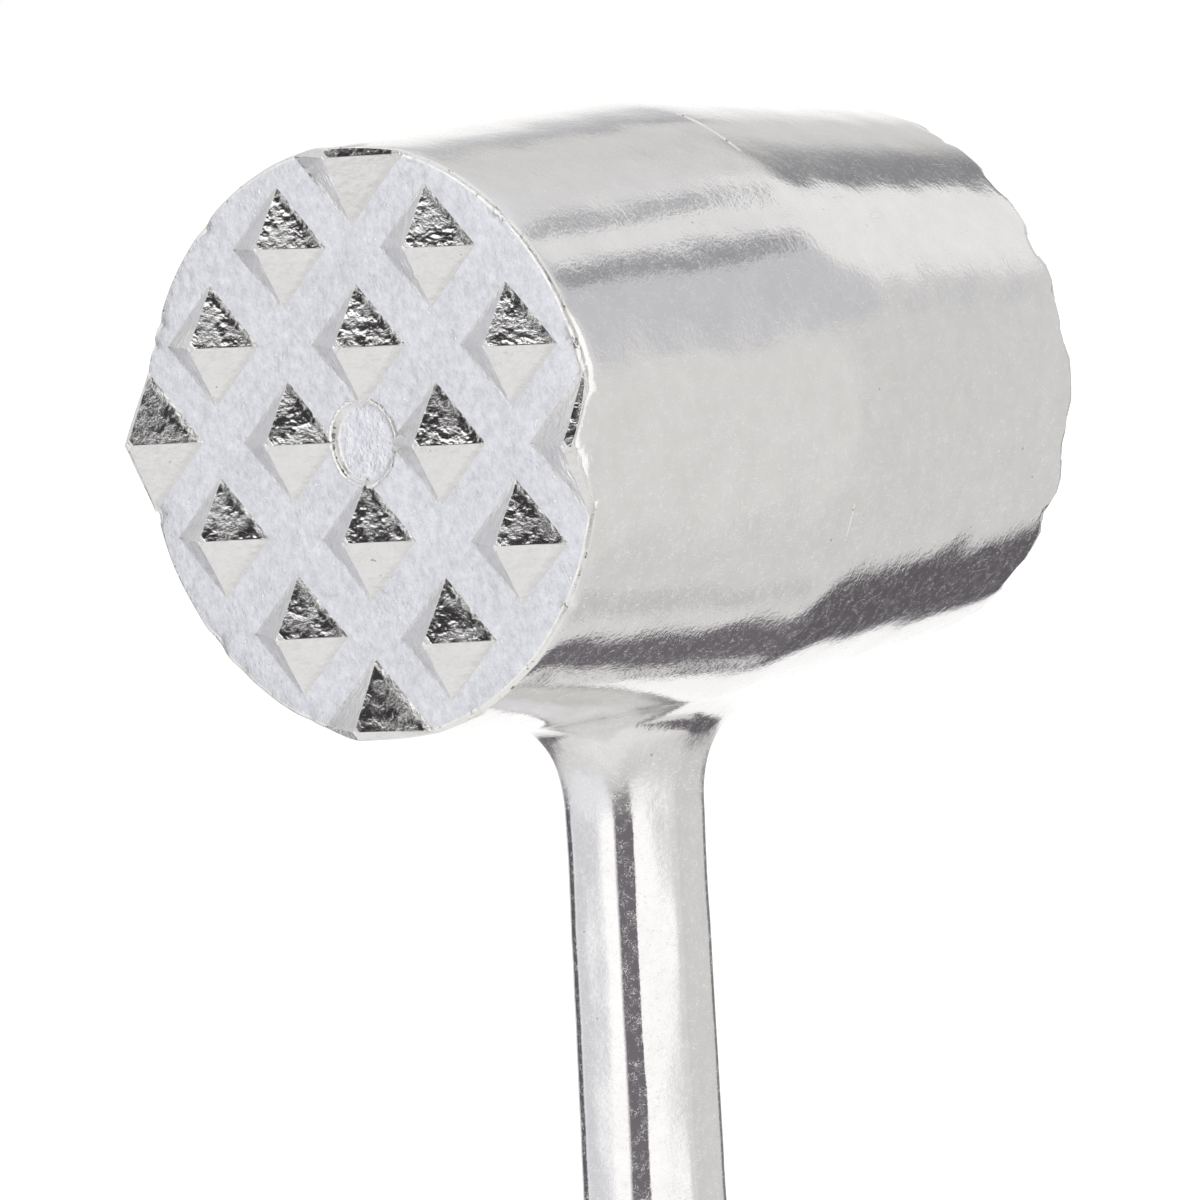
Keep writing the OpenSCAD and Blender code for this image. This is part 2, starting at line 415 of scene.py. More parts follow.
def burr_ring(materials):
    """Ragged burr round the sunk disc of the ejector pin."""
    turns = circle_angles(300)
    rng = np.random.default_rng(5)
    a, b, c, d = rng.uniform(0, 2 * math.pi, 4)
    fullness = 0.66 + 0.26 * np.sin(3 * turns + a) + 0.17 * np.sin(7 * turns + b)
    fullness += 0.12 * np.sin(17 * turns + c) + 0.08 * np.sin(41 * turns + d)
    fullness = np.clip(fullness, 0.2, 1)
    left = leftwards(turns)
    inner = MARK_R + (0.15 * (1 - fullness) - 0.25 * left) * MM
    outer = BURR_R - 0.5 * MM * (1 - fullness) * (1 - 0.8 * left)
    profile = [(0, -1), (0.1, 0.3), (0.4, 0.8), (0.65, 1), (0.85, 0.8), (0.97, 0.2), (1, -1)]
    rings = []
    for across, out in profile:
        lift = out * BURR_HEIGHT * (0.35 + 0.65 * fullness) if out > 0 else -PROUD_SUNK
        rings.append(cast(head_ring(mix(inner, outer, across), HALF_LENGTH + lift, FRONT, turns)))
    skin = Skin()
    skin.loft([*rings, rings[0]])
    return skin.piece("ejector_burr", materials, sharp_angle=60)


# ---------------------------------------------------------------- teeth

TOOTH_SQUARENESS = 200
# Slots of their materials
FLANK, TIP = range(2)
# Depth to which the teeth reach into the ground, and the flare of their feet on it
SUNK_BASE = 0.35 * MM
TOOTH_FLARE = 0.16 * MM
TOOTH_FLARE_HEIGHT = 0.36 * MM
# How far inside the head's side the cut teeth stay
CUT_INSET = 0.12 * MM
RIPPLE_HEIGHT = 0.008 * MM


def square_ring(steps):
    """Points round a square with slightly softened corners, half a side being 1."""
    along = np.sin(np.linspace(-1, 1, steps, endpoint=False) * math.pi / 2)
    soft = (1 + np.abs(along) ** TOOTH_SQUARENESS) ** (-1 / TOOTH_SQUARENESS)
    x, y = soft, along * soft
    sides = [(x, y), (-y, x), (-x, -y), (y, -x)]
    return np.concatenate([np.stack(side, axis=1) for side in sides])


def tooth_profile(side, height, tip, levels):
    """(half side, height) of each ring of a tooth, from its sunk base to its tip."""
    round_off = 0.42 * tip
    rows = [(side / 2 + TOOTH_FLARE, -SUNK_BASE)]
    for level in np.linspace(0, 1, levels):
        h = level * (height - round_off)
        half = mix(side / 2, tip / 2, level)
        half += TOOTH_FLARE * max(0, 1 - h / TOOTH_FLARE_HEIGHT) ** 2
        rows.append((half, h))
    for turn in np.linspace(0, math.pi / 2, 6)[1:-1]:
        rows.append((tip / 2 * math.cos(turn), height - round_off * (1 - math.sin(turn))))
    return rows


def teeth(name, facing, spots, height, materials, steps, levels, ripple):
    """All teeth of one face. spots gives each tooth's place, base side and tip, steps the
    points along each side of a ring, and levels the rings of a flank."""
    skin = Skin()
    outline = square_ring(steps)
    quarter = math.radians(45)
    turned = outline @ np.array(
        [[math.cos(quarter), math.sin(quarter)], [-math.sin(quarter), math.cos(quarter)]]
    )
    rng = np.random.default_rng(7)
    for u, v, side, tip in spots:
        lean = rng.normal(0, 0.02, 2) * height
        tall = height * rng.uniform(0.965, 0.99)
        rows = tooth_profile(side, tall, tip * rng.uniform(0.8, 1.25), levels)
        rings = []
        for half, h in rows:
            level = max(0, h / tall)
            flat = turned * half + np.array([u, v]) + lean * level
            out = np.full(len(flat), HALF_LENGTH + h)
            points = np.stack([flat[:, 0], facing * out, HEAD_Z + flat[:, 1]], axis=1)
            away = turned / np.linalg.norm(turned, axis=1)[:, None]
            shift = ripple.at(points) * RIPPLE_HEIGHT * min(1, 4 * level, 3 * (1.02 - level))
            points[:, 0] += away[:, 0] * shift
            points[:, 2] += away[:, 1] * shift
            rings.append(points)
        low = (u, facing * (HALF_LENGTH - SUNK_BASE), HEAD_Z + v)
        high = (u + lean[0], facing * (HALF_LENGTH + tall), HEAD_Z + v + lean[1])
        skin.loft(rings, low, high, [FLANK] * levels + [TIP] * (len(rings) - 1 - levels))
    obj = skin.piece(name, materials)
    boolean(obj, "INTERSECT", head_envelope(facing, height))
    move_points(obj, cast)
    return obj


def head_envelope(facing, height):
    """Space that the teeth keep: the head's side run on past the face, just inside the
    lip that stands there, and on the fine face leaning in as buffing has worn it."""
    angles = circle_angles(HEAD_SEGMENTS)
    corners = [(0, HALF_LENGTH - 2 * SUNK_BASE)]
    if facing == REAR:
        corners.append((0, HALF_LENGTH + WORN_HEIGHT))
    corners.append((WORN_REACH if facing == REAR else 0, HALF_LENGTH + height))
    corners.append((corners[-1][0], HALF_LENGTH + 2 * height))
    rings = [
        head_ring(head_radius(out) - CUT_INSET - within, out, facing, angles)
        for within, out in corners
    ]
    skin = Skin()
    ends = [(0, facing * corners[k][1], HEAD_Z) for k in (0, -1)]
    skin.loft(rings, *ends)
    return skin.piece("envelope", [])


def diamond_grid(count, pitch):
    """Grid places (i, j) and their (u, v) on a face, with the rows at 45 degrees."""
    middle = (count - 1) / 2
    for i in range(count):
        for j in range(count):
            a, b = i - middle, j - middle
            yield a, b, (a - b) * pitch / math.sqrt(2), (a + b) * pitch / math.sqrt(2)


def coarse_spots():
    for a, b, u, v in diamond_grid(4, COARSE_PITCH):
        corner = abs(a) == 1.5 and abs(b) == 1.5
        reach = math.hypot(u, v)
        pull = 1 - CORNER_INSET / reach if corner else 1
        yield u * pull, v * pull, CORNER_SIDE if corner else COARSE_SIDE, COARSE_TIP


def fine_spots():
    for a, b, u, v in diamond_grid(8, FINE_PITCH):
        if math.hypot(u, v) < FACE_R + FINE_SIDE / 2:
            yield u, v, FINE_SIDE, FINE_TIP


# ---------------------------------------------------------------- handle

HANDLE_POINTS = 256
HANDLE_ANGLES = circle_angles(HANDLE_POINTS)
# Half width of the rounding, in radians, that buffing gives the crease between two drafts
SOFT_CREASE = 0.12


def wall(shape, angle):
    """Distance from the handle's axis to its wall, for a section and a direction."""
    width, flat_width, depth = shape
    off_plane = math.hypot(math.sin(angle), SOFT_CREASE) - SOFT_CREASE
    flank = (abs(math.cos(angle)) + off_plane * (width - flat_width) / depth) / width
    flat = abs(math.sin(angle)) / depth
    return (flank**CRISPNESS + flat**CRISPNESS) ** (-1 / CRISPNESS)


def handle_ring(shape, below):
    """Ring of the handle's wall, at a distance below the head's axis."""
    radii = [wall(shape, angle) for angle in HANDLE_ANGLES]
    x = radii * np.cos(HANDLE_ANGLES)
    y = radii * np.sin(HANDLE_ANGLES)
    return np.stack([x, y, np.full(HANDLE_POINTS, HEAD_Z - below)], axis=1)


def handle_stretch(name, start, end, shape_start, shape_end, steps, materials):
    """Length of handle between two distances below the head's axis."""
    rings = []
    for t in np.linspace(0, 1, steps):
        shape = mix(shape_start, shape_end, smooth(t))
        rings.append(cast(handle_ring(shape, mix(start, end, t))))
    skin = Skin()
    ends = cast([(0, 0, HEAD_Z - start), (0, 0, HEAD_Z - end)])
    skin.loft(rings, ends[0], ends[1])
    return skin.piece(name, materials, sharp_angle=60)


def underside(x, y):
    """Height of the head's underside, counted from the head's axis."""
    return -math.sqrt(head_radius(abs(y)) ** 2 - x * x)


def underside_slope(reach, angle):
    """Slope of the head's underside, going out from the handle's axis."""
    out = reach * abs(math.sin(angle))
    drop = head_radius(out)
    rise = reach * math.cos(angle) ** 2 + drop * head_taper(out) * abs(math.sin(angle))
    return rise / math.sqrt(drop**2 - (reach * math.cos(angle)) ** 2)


def fillet(angle):
    """Radius and height of the fillet's two ends and of their tangents' corner."""
    near = wall(SHANK_TOP, angle)
    first_slope = underside_slope(near + NECK_FILLET / 2, angle)
    reach = NECK_TAIL * NECK_FILLET * math.tan((math.pi / 2 - math.atan(first_slope)) / 2)
    far = near + reach / math.hypot(1, first_slope)
    top = underside(far * math.cos(angle), far * math.sin(angle))
    corner = top - underside_slope(far, angle) * (far - near)
    return np.array([[near, corner - reach], [near, corner], [far, top]])


def fillet_point(ends, t):
    """Point on the cubic curve that a fillet follows."""
    p1 = mix(ends[0], ends[1], NECK_PULL)
    p2 = mix(ends[2], ends[1], NECK_PULL)
    u = 1 - t
    return u**3 * ends[0] + 3 * u * u * t * p1 + 3 * u * t * t * p2 + t**3 * ends[2]


def neck(materials):
    """Filleted neck, from the plain shank up to the head's underside and into it."""
    fillets = [fillet(angle) for angle in HANDLE_ANGLES]
    across, along = np.cos(HANDLE_ANGLES), np.sin(HANDLE_ANGLES)

    def ring(pairs, lift=0.0):
        radii, heights = np.array(pairs).T
        return cast(np.stack([radii * across, radii * along, HEAD_Z + heights + lift], axis=1))

    rings = [cast(handle_ring(SHANK_TOP, NECK_END))]
    first = np.array([f[0] for f in fillets])
    for t in np.linspace(0, 1, 6)[1:-1]:
        heights = mix(-NECK_END, first[:, 1], t)
        rings.append(ring(np.stack([first[:, 0], heights], axis=1)))
    for t in np.linspace(0, 1, 30):
        rings.append(ring([fillet_point(f, t) for f in fillets]))
    rings.append(ring([f[2] * np.array([0.9, 1]) for f in fillets], NECK_SUNK))
    skin = Skin()
    low = cast([(0, 0, HEAD_Z - NECK_END)])[0]
    skin.loft(rings, low, (0, 0, rings[-1][:, 2].mean()))
    return skin.piece("neck_fillet", materials, sharp_angle=60)


def hanging_eye(materials):
    """Straight block and round end of the handle, with the hole it hangs by."""
    straight = [handle_ring(GRIP_LOW, below) for below in np.linspace(EYE_TOP, HEAD_Z, 18)]
    outline = sorted((p for p in straight[-1] if p[0] > -1e-9), key=lambda p: p[1])
    skin = Skin()
    skin.loft(straight, (0, 0, HEAD_Z - EYE_TOP))
    first, rows = len(skin.points), len(outline)
    turns = np.linspace(0, math.pi, 61)
    for turn in turns:
        skin.points += [(x * math.cos(turn), y, -x * math.sin(turn)) for x, y, _ in outline]
    for k in range(len(turns) - 1):
        for i in range(rows - 1):
            a = first + k * rows + i
            skin.add((a, a + rows, a + rows + 1, a + 1), 0)
    obj = skin.piece("hanging_eye_end", materials, sharp_angle=60)
    boolean(obj, "DIFFERENCE", hole_cutter())
    move_points(obj, cast)
    return obj


def hole_cutter():
    """The hanging hole, with softened mouths."""
    angles = circle_angles(128)
    depth = GRIP_LOW[2]
    lip = 0.5 * MM
    profile = [(HOLE_R + 2 * lip, -depth - lip), (HOLE_R + lip, -depth)]
    for turn in np.linspace(0, math.pi / 2, 6)[1:]:
        profile.append((HOLE_R + lip * (1 - math.sin(turn)), -depth + lip * (1 - math.cos(turn))))
    profile += [(HOLE_R, -depth * share) for share in (0.8, 0.6, 0.4, 0.2)]
    profile += [(HOLE_R, 0)]
    profile += [(r, -y) for r, y in reversed(profile[:-1])]
    rings = [
        np.stack([r * np.sin(angles), np.full(len(angles), y), r * np.cos(angles)], axis=1)
        for r, y in profile
    ]
    skin = Skin()
    skin.loft(rings, (0, profile[0][1], 0), (0, profile[-1][1], 0))
    return skin.piece("hole_cutter", [])


# ---------------------------------------------------------------- materials


class Nodes:
    """Short way to write the nodes of a material or the world."""

    def __init__(self, tree):
        self.tree = tree
        tree.nodes.clear()

    def add(self, kind, inputs=None, **settings):
        node = self.tree.nodes.new(kind)
        for key, value in settings.items():
            setattr(node, key, value)
        for key, value in (inputs or {}).items():
            if isinstance(value, bpy.types.NodeSocket):
                self.tree.links.new(value, node.inputs[key])
            else:
                node.inputs[key].default_value = value
        return node

    def math(self, operation, *values):
        inputs = dict(enumerate(values))
        return self.add("ShaderNodeMath", inputs, operation=operation).outputs[0]

    def scaled(self, vector, scale):
        inputs = {0: vector, 1: scale}
        return self.add("ShaderNodeVectorMath", inputs, operation="MULTIPLY").outputs[0]

    def noise(self, vector, scale=1.0, detail=2.0, roughness=0.5):
        inputs = {"Vector": vector, "Scale": scale, "Detail": detail, "Roughness": roughness}
        return self.add("ShaderNodeTexNoise", inputs).outputs[0]

    def range(self, value, low, high, to_low=0.0, to_high=1.0, soft=False):
        inputs = {0: value, 1: low, 2: high, 3: to_low, 4: to_high}
        kind = "SMOOTHSTEP" if soft else "LINEAR"
        return self.add("ShaderNodeMapRange", inputs, interpolation_type=kind).outputs[0]

    def mix(self, share, a, b):
        node = self.add("ShaderNodeMix", {"Factor": share}, data_type="RGBA")
        for name, value in (("A", a), ("B", b)):
            socket = [s for s in node.inputs if s.name == name and s.type == "RGBA"][0]
            if isinstance(value, bpy.types.NodeSocket):
                self.tree.links.new(value, socket)
            else:
                socket.default_value = (*value, 1)
        return [s for s in node.outputs if s.type == "RGBA"][0]


# Turns metres into millimetres, in which the materials count
MM_SCALE = (1000, 1000, 1000)


def new_material(name):
    material = bpy.data.materials.new(name)
    material.use_nodes = True
    nodes = Nodes(material.node_tree)
    place = nodes.add("ShaderNodeTexCoord").outputs["Object"]
    return material, nodes, nodes.scaled(place, MM_SCALE)


def metal_shader(nodes, colour, roughness, bumps, metallic=1.0):
    """Metal surface over a chain of (height, depth in metres) bumps."""
    normal = None
    for height, depth in bumps:
        inputs = {"Height": height, "Distance": depth, "Strength": 1.0}
        if normal is not None:
            inputs["Normal"] = normal
        normal = nodes.add("ShaderNodeBump", inputs).outputs[0]
    inputs = {"Base Color": colour, "Metallic": metallic, "Roughness": roughness}
    inputs["Normal"] = normal
    shader = nodes.add("ShaderNodeBsdfPrincipled", inputs).outputs[0]
    nodes.add("ShaderNodeOutputMaterial", {"Surface": shader})


def scratches(nodes, place, stretch, turn, rarity):
    """Mask of thin straight scratches, which run across the most stretched axis."""
    rotated = nodes.add(
        "ShaderNodeVectorRotate", {"Vector": place, "Angle": turn}, rotation_type="Y_AXIS"
    ).outputs[0]
    field = nodes.noise(nodes.scaled(rotated, stretch), 1.0, 0.0)
    line = nodes.math("ABSOLUTE", nodes.math("SUBTRACT", field, 0.5))
    thin = nodes.range(line, 0.0, 0.012, 1.0, 0.0, soft=True)
    somewhere = nodes.range(nodes.noise(place, 0.35, 1.0), rarity, rarity + 0.03, soft=True)
    return nodes.math("MULTIPLY", thin, somewhere)


def hairs(nodes, place, scale, rarity):
    """Mask of short curved hairlines, thin as a wire brush leaves them."""
    field = nodes.noise(nodes.scaled(place, scale), 1.0, 1.0)
    line = nodes.math("ABSOLUTE", nodes.math("SUBTRACT", field, 0.5))
    thin = nodes.range(line, 0.0, 0.02, 1.0, 0.0, soft=True)
    somewhere = nodes.range(nodes.noise(place, 1.3, 2.0), rarity, rarity + 0.06, soft=True)
    return nodes.math("MULTIPLY", thin, somewhere)


def polished_metal():
    """Buffed aluminium: orange peel, fine buffing strokes, hairlines, pits and scratches."""
    material, nodes, place = new_material("polished_aluminium")
    height = nodes.add("ShaderNodeSeparateXYZ", {"Vector": place}).outputs[2]
    neck_top = (HEAD_Z - MID_R) / MM
    on_head = nodes.range(height, neck_top - 8, neck_top + 1, soft=True)
    # Buffing strokes run round the head and across the handle
    head_strokes = nodes.noise(nodes.scaled(place, (0.7, 3.8, 0.7)), 1.0, 2.0)
    handle_strokes = nodes.noise(nodes.scaled(place, (1.0, 1.0, 3.2)), 1.0, 2.0)
    strokes = nodes.add(
        "ShaderNodeMix", {0: on_head, 2: handle_strokes, 3: head_strokes}, data_type="FLOAT"
    ).outputs[0]
    strokes_depth = nodes.range(on_head, 0, 1, 2.4, 1.0)
    deep_strokes = nodes.math("MULTIPLY", strokes, strokes_depth)
    # The wheel doesn't reach well into the neck's fillet
    cove = nodes.math(
        "MULTIPLY",
        nodes.range(height, neck_top - 1.8, neck_top - 0.6, 1.0, 0.0, soft=True),
        nodes.range(height, neck_top - 9, neck_top - 6, soft=True),
    )
    unevenness = nodes.range(on_head, 0, 1, 0.4, 1.0)
    peel = nodes.math("MULTIPLY", nodes.noise(place, 1.0, 2.0, 0.6), unevenness)
    grain = nodes.math("MULTIPLY", nodes.noise(place, 2.6, 2.0, 0.6), unevenness)
    fine_grain = nodes.noise(place, 6.0, 1.0)
    patches = nodes.noise(place, 0.13, 3.0)
    scratch = scratches(nodes, place, (0.25, 0.25, 2.2), 0.6, 0.66)
    hair = nodes.math(
        "MAXIMUM",
        hairs(nodes, place, (4.2, 1.3, 4.2), 0.44),
        hairs(nodes, place, (2.0, 2.8, 1.8), 0.53),
    )
    pits = nodes.range(nodes.noise(place, 1.7, 0.0), 0.88, 0.91, soft=True)
    cloud = nodes.noise(place, 0.4, 4.0, 0.65)
    shade = nodes.range(cloud, 0.3, 0.7)
    tone = nodes.mix(shade, (0.82, 0.808, 0.80), (0.88, 0.869, 0.862))
    tone = nodes.mix(pits, tone, (0.58, 0.54, 0.51))
    rough = nodes.range(patches, 0.3, 0.7, 0.05, 0.09)
    rough = nodes.math("ADD", rough, nodes.range(strokes, 0.3, 0.7, -0.015, 0.03))
    rough = nodes.math("ADD", rough, nodes.math("MULTIPLY", scratch, 0.15))
    hair_dullness = nodes.range(on_head, 0, 1, 0.4, 0.06)
    rough = nodes.math("ADD", rough, nodes.math("MULTIPLY", hair, hair_dullness))
    rough = nodes.math("ADD", rough, nodes.math("MULTIPLY", cove, 0.2))
    hair_strength = nodes.range(on_head, 0, 1, 0.75, 0.48)
    unburnished = nodes.math("SUBTRACT", 1.0, nodes.math("MULTIPLY", hair, hair_strength))
    bumps = [
        (nodes.math("MULTIPLY", nodes.noise(place, 1.4, 2.0), cove), 0.05 * MM),
        (peel, 0.014 * MM),
        (grain, 0.011 * MM),
        (fine_grain, 0.003 * MM),
        (deep_strokes, 0.004 * MM),
        (scratch, -0.004 * MM),
        (pits, -0.015 * MM),
    ]
    metal_shader(nodes, tone, rough, bumps, unburnished)
    return material


def rim_metal():
    """Bright bruised edge of the coarse face, with small dark and rusty spots."""
    material, nodes, place = new_material("bruised_rim")
    cloud = nodes.noise(place, 0.9, 3.0, 0.7)
    spots = nodes.range(nodes.noise(place, 1.5, 2.0, 0.6), 0.63, 0.7, soft=True)
    tone = nodes.mix(nodes.range(cloud, 0.3, 0.7), (0.93, 0.92, 0.88), (0.99, 0.985, 0.97))
    tone = nodes.mix(spots, tone, (0.36, 0.31, 0.27))
    rough = nodes.range(cloud, 0.3, 0.7, 0.3, 0.5)
    bumps = [
        (nodes.noise(place, 1.6, 2.0), 0.08 * MM),
        (nodes.noise(place, 5.0, 1.0), 0.02 * MM),
        (spots, -0.04 * MM),
    ]
    metal_shader(nodes, tone, rough, bumps)
    return material


def ground_metal(name, relief, dullness):
    """As-cast ground between the teeth: matte, grainy, with light specks."""
    material, nodes, place = new_material(name)
    cloud = nodes.noise(place, 1.1, 4.0, 0.75)
    grain = nodes.noise(place, 3.0, 2.0)
    specks = nodes.range(nodes.noise(place, 1.9, 1.0), 0.69, 0.74, soft=True)
    scratch = scratches(nodes, place, (2.4, 0.3, 0.3), 0.5, 0.6)
    marks = nodes.math("MAXIMUM", specks, nodes.math("MULTIPLY", scratch, 0.6))
    tone = nodes.mix(nodes.range(cloud, 0.32, 0.68), (0.71, 0.718, 0.748), (0.94, 0.945, 0.975))
    tone = nodes.mix(nodes.math("MULTIPLY", marks, 0.8), tone, (0.98, 0.98, 0.99))
    rough = nodes.range(cloud, 0.3, 0.7, dullness - 0.05, dullness + 0.05)
    rough = nodes.math("SUBTRACT", rough, nodes.math("MULTIPLY", marks, 0.15))
    bumps = [
        (nodes.noise(place, 0.8, 3.0, 0.6), 0.1 * MM * relief),
        (grain, 0.035 * MM * relief),
        (scratch, -0.02 * MM),
        (specks, 0.03 * MM),
    ]
    metal_shader(nodes, tone, rough, bumps)
    return material


def tooth_metal():
    """Bright cast flanks of the teeth, rippled and sparkling."""
    material, nodes, place = new_material("bright_cast_teeth")
    coarse = nodes.noise(place, 1.6, 1.0)
    grain = nodes.noise(place, 4.6, 2.0, 0.65)
    rougher = nodes.range(nodes.noise(place, 0.7, 1.0), 0.4, 0.62, soft=True)
    sparkle = nodes.math("MULTIPLY", grain, nodes.range(rougher, 0, 1, 0.5, 1.3))
    tone = nodes.mix(nodes.noise(place, 2.5, 3.0), (0.80, 0.79, 0.775), (0.9, 0.893, 0.88))
    spots = nodes.range(nodes.noise(place, 2.3, 0.0), 0.86, 0.89, soft=True)
    tone = nodes.mix(spots, tone, (0.45, 0.38, 0.33))
    rough = nodes.range(rougher, 0, 1, 0.13, 0.22)
    bumps = [(coarse, 0.064 * MM), (sparkle, 0.03 * MM)]
    metal_shader(nodes, tone, rough, bumps)
    return material


# ---------------------------------------------------------------- studio


def sky_patch(nodes, angles, below, centre, spread, edge_share, colour, square=False):
    """Blends the sky towards a colour round a direction given in degrees."""
    turn = nodes.math("WRAP", nodes.math("SUBTRACT", angles[0], centre[0]), -180.0, 180.0)
    u = nodes.math("ABSOLUTE", nodes.math("DIVIDE", turn, spread[0]))
    rise = nodes.math("SUBTRACT", angles[1], centre[1])
    v = nodes.math("ABSOLUTE", nodes.math("DIVIDE", rise, spread[1]))
    if square:
        distance = nodes.math("MAXIMUM", u, v)
    else:
        squares = nodes.math("ADD", nodes.math("MULTIPLY", u, u), nodes.math("MULTIPLY", v, v))
        distance = nodes.math("SQRT", squares)
    inside = nodes.range(distance, 1 - edge_share, 1 + edge_share, 1.0, 0.0, soft=True)
    return nodes.mix(inside, below, colour)


PLAIN = (1, 1, 1)
WARM = (1.006, 1, 0.985)
COOL = (0.997, 1, 1.05)
ROSE = (1.08, 1, 1.1)


def light(value, tint=PLAIN):
    """Radiance of a panel or flag."""
    return tuple(value * share for share in tint)


# Radiance where no panel or flag stands
BARE_SKY = light(0.7, WARM)
# Direction (azimuth, elevation), half widths, edge softness, radiance, and whether the
# outline is a rectangle, of each panel and flag round the object. Azimuth 0 is -Y, and it
# grows towards +X. Later ones cover earlier ones.
STUDIO = [
    # Sky and ground
    ((0, 90), (400, 46), 0.3, light(0.83, COOL), False),
    ((0, -90), (400, 45), 0.3, light(0.88), False),
    # In front of the coarse face and its teeth
    ((-39, -5), (36, 36), 0.3, light(0.92, COOL), False),
    ((-46, -3), (10, 10), 0.5, light(0.72, COOL), True),
    ((-20, 8), (18, 21), 0.2, light(1.18), True),
    ((-82, -5), (20, 12), 0.2, light(0.12, ROSE), True),
    ((-116, 0), (18, 60), 0.3, light(0.78), True),
    ((-112, -30), (16, 11), 0.2, light(0.16, ROSE), True),
    ((28, 43), (34, 14), 0.15, light(0.03, ROSE), True),
    ((57, -11), (51, 10), 0.12, light(0.17, ROSE), True),
    ((26, 61.5), (28, 4.5), 0.2, light(1.9), True),
    ((-18, 12), (5, 5), 0.3, light(2.5), False),
    # On the right, in the flanks of the shank and the side of the head
    ((111, 8), (16.5, 29), 0.08, light(1.16), True),
    ((134, -5), (9, 35), 0.3, light(0.76, WARM), True),
    ((146, 29), (10, 13), 0.14, light(0.62, COOL), True),
    # Behind, in the upper bands of the head
    ((-176, 29), (11.5, 7), 0.65, light(0.28, COOL), True),
    ((170, 31.5), (12, 11.5), 0.08, light(0.9), True),
    ((160, 41.8), (6, 3), 0.3, light(0.84), True),
    ((151, 36.8), (4.5, 2.4), 0.3, light(0.36, COOL), True),
    ((169.5, 44.3), (4, 1.8), 0.3, light(0.46, COOL), True),
    ((-146.5, 27.5), (5.5, 5), 0.3, light(0.44, COOL), True),
    # Behind and low, in the lower bands of the head and the edges of the handle
    ((160.5, -41.4), (6, 1.8), 0.3, light(0.6), True),
    ((-156, -28), (12, 14), 0.2, light(1.05), False),
    ((-173.3, -32), (12.3, 8), 0.07, light(0.12, ROSE), True),
    ((-177, -44), (8.5, 7), 0.12, light(0.15, ROSE), True),
    ((-175, -5), (9, 12), 0.3, light(0.2), True),
    ((-141, -5), (11, 30), 0.6, light(1.15), False),
]


def studio_light():
    """Soft panels all round, plain white where the camera looks past the object."""
    world = bpy.data.worlds.new("studio")
    bpy.context.scene.world = world
    world.use_nodes = True
    nodes = Nodes(world.node_tree)
    direction = nodes.add("ShaderNodeTexCoord").outputs["Generated"]
    x, y, z = nodes.add("ShaderNodeSeparateXYZ", {"Vector": direction}).outputs
    turn = nodes.math("ARCTAN2", x, nodes.math("MULTIPLY", y, -1.0))
    rise = nodes.math("ARCSINE", z)
    angles = [nodes.math("DEGREES", turn), nodes.math("DEGREES", rise)]
    colour = nodes.add("ShaderNodeRGB").outputs[0]
    colour.default_value = (*BARE_SKY, 1)
    for centre, spread, softness, radiance, square in STUDIO:
        colour = sky_patch(nodes, angles, colour, centre, spread, softness, radiance, square)
    seen = nodes.add("ShaderNodeLightPath").outputs["Is Camera Ray"]
    colour = nodes.mix(seen, colour, (1, 1, 1))
    background = nodes.add("ShaderNodeBackground", {"Color": colour}).outputs[0]
    nodes.add("ShaderNodeOutputWorld", {"Surface": background})


FLOOR_REACH = 40
FLOOR_GAP = 0.1 * MM
FLOOR_GLOW = 0.75


def floor():
    """Large pale floor under the end of the handle, lit from within to stay pale."""
    mesh = bpy.data.meshes.new("floor")
    low = CAD_LOW.z - FLOOR_GAP
    signs = ((-1, -1), (1, -1), (1, 1), (-1, 1))
    corners = [(FLOOR_REACH * x, FLOOR_REACH * y, low) for x, y in signs]
    mesh.from_pydata(corners, [], [(0, 1, 2, 3)])
    obj = bpy.data.objects.new("floor", mesh)
    bpy.context.scene.collection.objects.link(obj)
    material = bpy.data.materials.new("pale_floor")
    material.use_nodes = True
    nodes = Nodes(material.node_tree)
    inputs = {"Base Color": (0.6, 0.6, 0.6, 1), "Roughness": 0.9}
    inputs.update({"Emission Color": (1, 1, 1, 1), "Emission Strength": FLOOR_GLOW})
    shader = nodes.add("ShaderNodeBsdfPrincipled", inputs).outputs[0]
    nodes.add("ShaderNodeOutputMaterial", {"Surface": shader})
    mesh.materials.append(material)
    obj.visible_glossy = False


# Azimuth, elevation and roll in degrees, distance and point looked at in metres, and the
# lens and its frame in millimetres
CAMERA_ANGLES = (39.36, 5.14, -3.0)
CAMERA_DISTANCE = 0.589
CAMERA_AIM = Vector((-2.6 * MM, 0, HEAD_Z - 16 * MM))
CAMERA_LENS = 210
CAMERA_FRAME = 36


def camera():
    """Long lens from the coarse face's right, a little above and rolled."""
    azimuth, elevation, roll = (math.radians(angle) for angle in CAMERA_ANGLES)
    back = Vector(
        (
            math.sin(azimuth) * math.cos(elevation),
            -math.cos(azimuth) * math.cos(elevation),
            math.sin(elevation),
        )
    )
    level = Vector((math.cos(azimuth), math.sin(azimuth), 0))
    right = level * math.cos(roll) + back.cross(level) * math.sin(roll)
    data = bpy.data.cameras.new("camera")
    data.sensor_width = CAMERA_FRAME
    data.lens = CAMERA_LENS
    data.clip_start = 0.05
    data.clip_end = 200
    obj = bpy.data.objects.new("camera", data)
    turn = Matrix((right, back.cross(right), back)).transposed()
    obj.matrix_world = Matrix.Translation(CAMERA_AIM + back * CAMERA_DISTANCE) @ turn.to_4x4()
    bpy.context.scene.collection.objects.link(obj)
    bpy.context.scene.camera = obj


# ---------------------------------------------------------------- the mallet


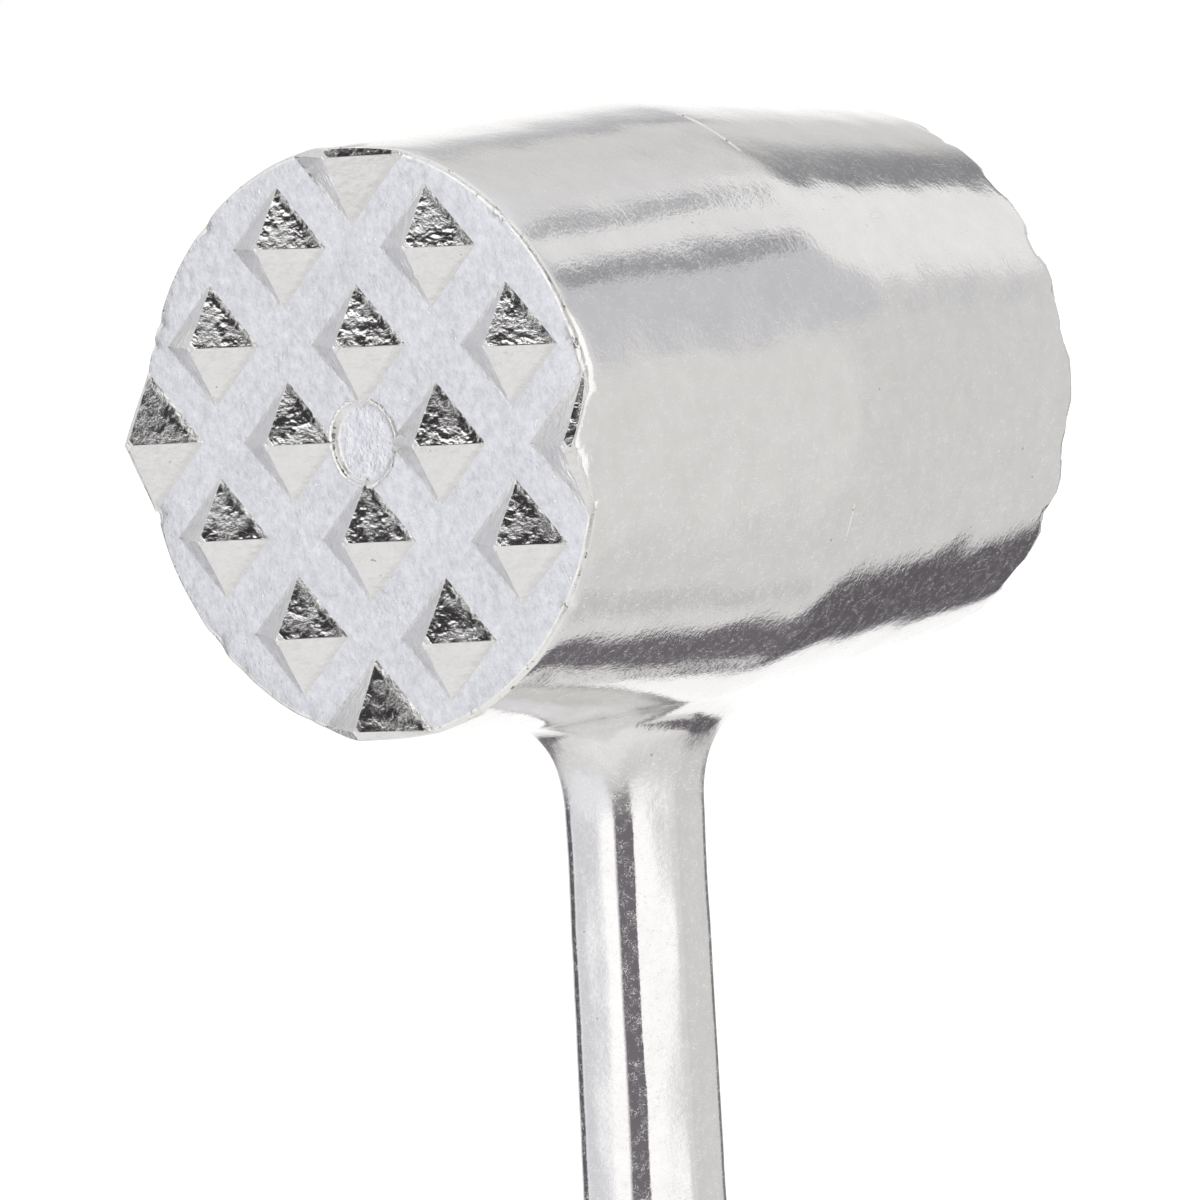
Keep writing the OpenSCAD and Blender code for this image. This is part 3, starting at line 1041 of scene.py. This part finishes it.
def build_mallet():
    polished, bright = polished_metal(), tooth_metal()
    ground = ground_metal("matte_cast_ground", 1, 0.48)
    disc = ground_metal("struck_disc", 2, 0.38)
    rim = rim_metal()
    angles = circle_angles(HEAD_SEGMENTS)
    coarse_lip = rim_lip(angles, list(coarse_spots()), COARSE_HEIGHT, COARSE_HEIGHT)
    fine_lip = rim_lip(angles, list(fine_spots()), FINE_HEIGHT, WORN_HEIGHT)
    front = half_barrel("front_half", FRONT, 21, coarse_lip, True, [polished, ground, disc, rim])
    finish_piece(front, "front_barrel")
    rear = half_barrel("rear_half", REAR, 22, fine_lip, False, [polished, ground, disc, polished])
    finish_piece(rear, "rear_barrel")
    finish_piece(flash_line([rim]), "parting_line")
    finish_piece(burr_ring([bright]), "ejector_mark")
    coarse_ripple = Waves(41, 0.45 * MM, 1.6 * MM)
    coarse = teeth(
        "coarse_tooth_set", FRONT, coarse_spots(), COARSE_HEIGHT, [bright, rim],
        steps=18, levels=26, ripple=coarse_ripple,
    )
    finish_piece(coarse, "coarse_teeth")
    fine_ripple = Waves(42, 0.5 * MM, 1.4 * MM)
    fine = teeth(
        "fine_tooth_set", REAR, fine_spots(), FINE_HEIGHT, [bright, rim],
        steps=10, levels=14, ripple=fine_ripple,
    )
    finish_piece(fine, "fine_teeth")
    finish_piece(neck([polished]), "neck")
    # Name, CAD node, distances of both ends below the head's axis, sections there, rings
    stretches = [
        ("slender_shank", "shank", NECK_END, SHANK_END, SHANK_TOP, SHANK_LOW, 90),
        ("swelling_shoulder", "shoulder", SHANK_END, GRIP_START, SHANK_LOW, GRIP_TOP, 70),
        ("broad_grip", "grip", GRIP_START, EYE_TOP, GRIP_TOP, GRIP_LOW, 90),
    ]
    for name, node, start, end, shape_start, shape_end, steps in stretches:
        piece = handle_stretch(name, start, end, shape_start, shape_end, steps, [polished])
        finish_piece(piece, node)
    finish_piece(hanging_eye([polished]), "hanging_eye")


build_mallet()
studio_light()
floor()
camera()
bpy.context.scene.view_settings.view_transform = "Standard"
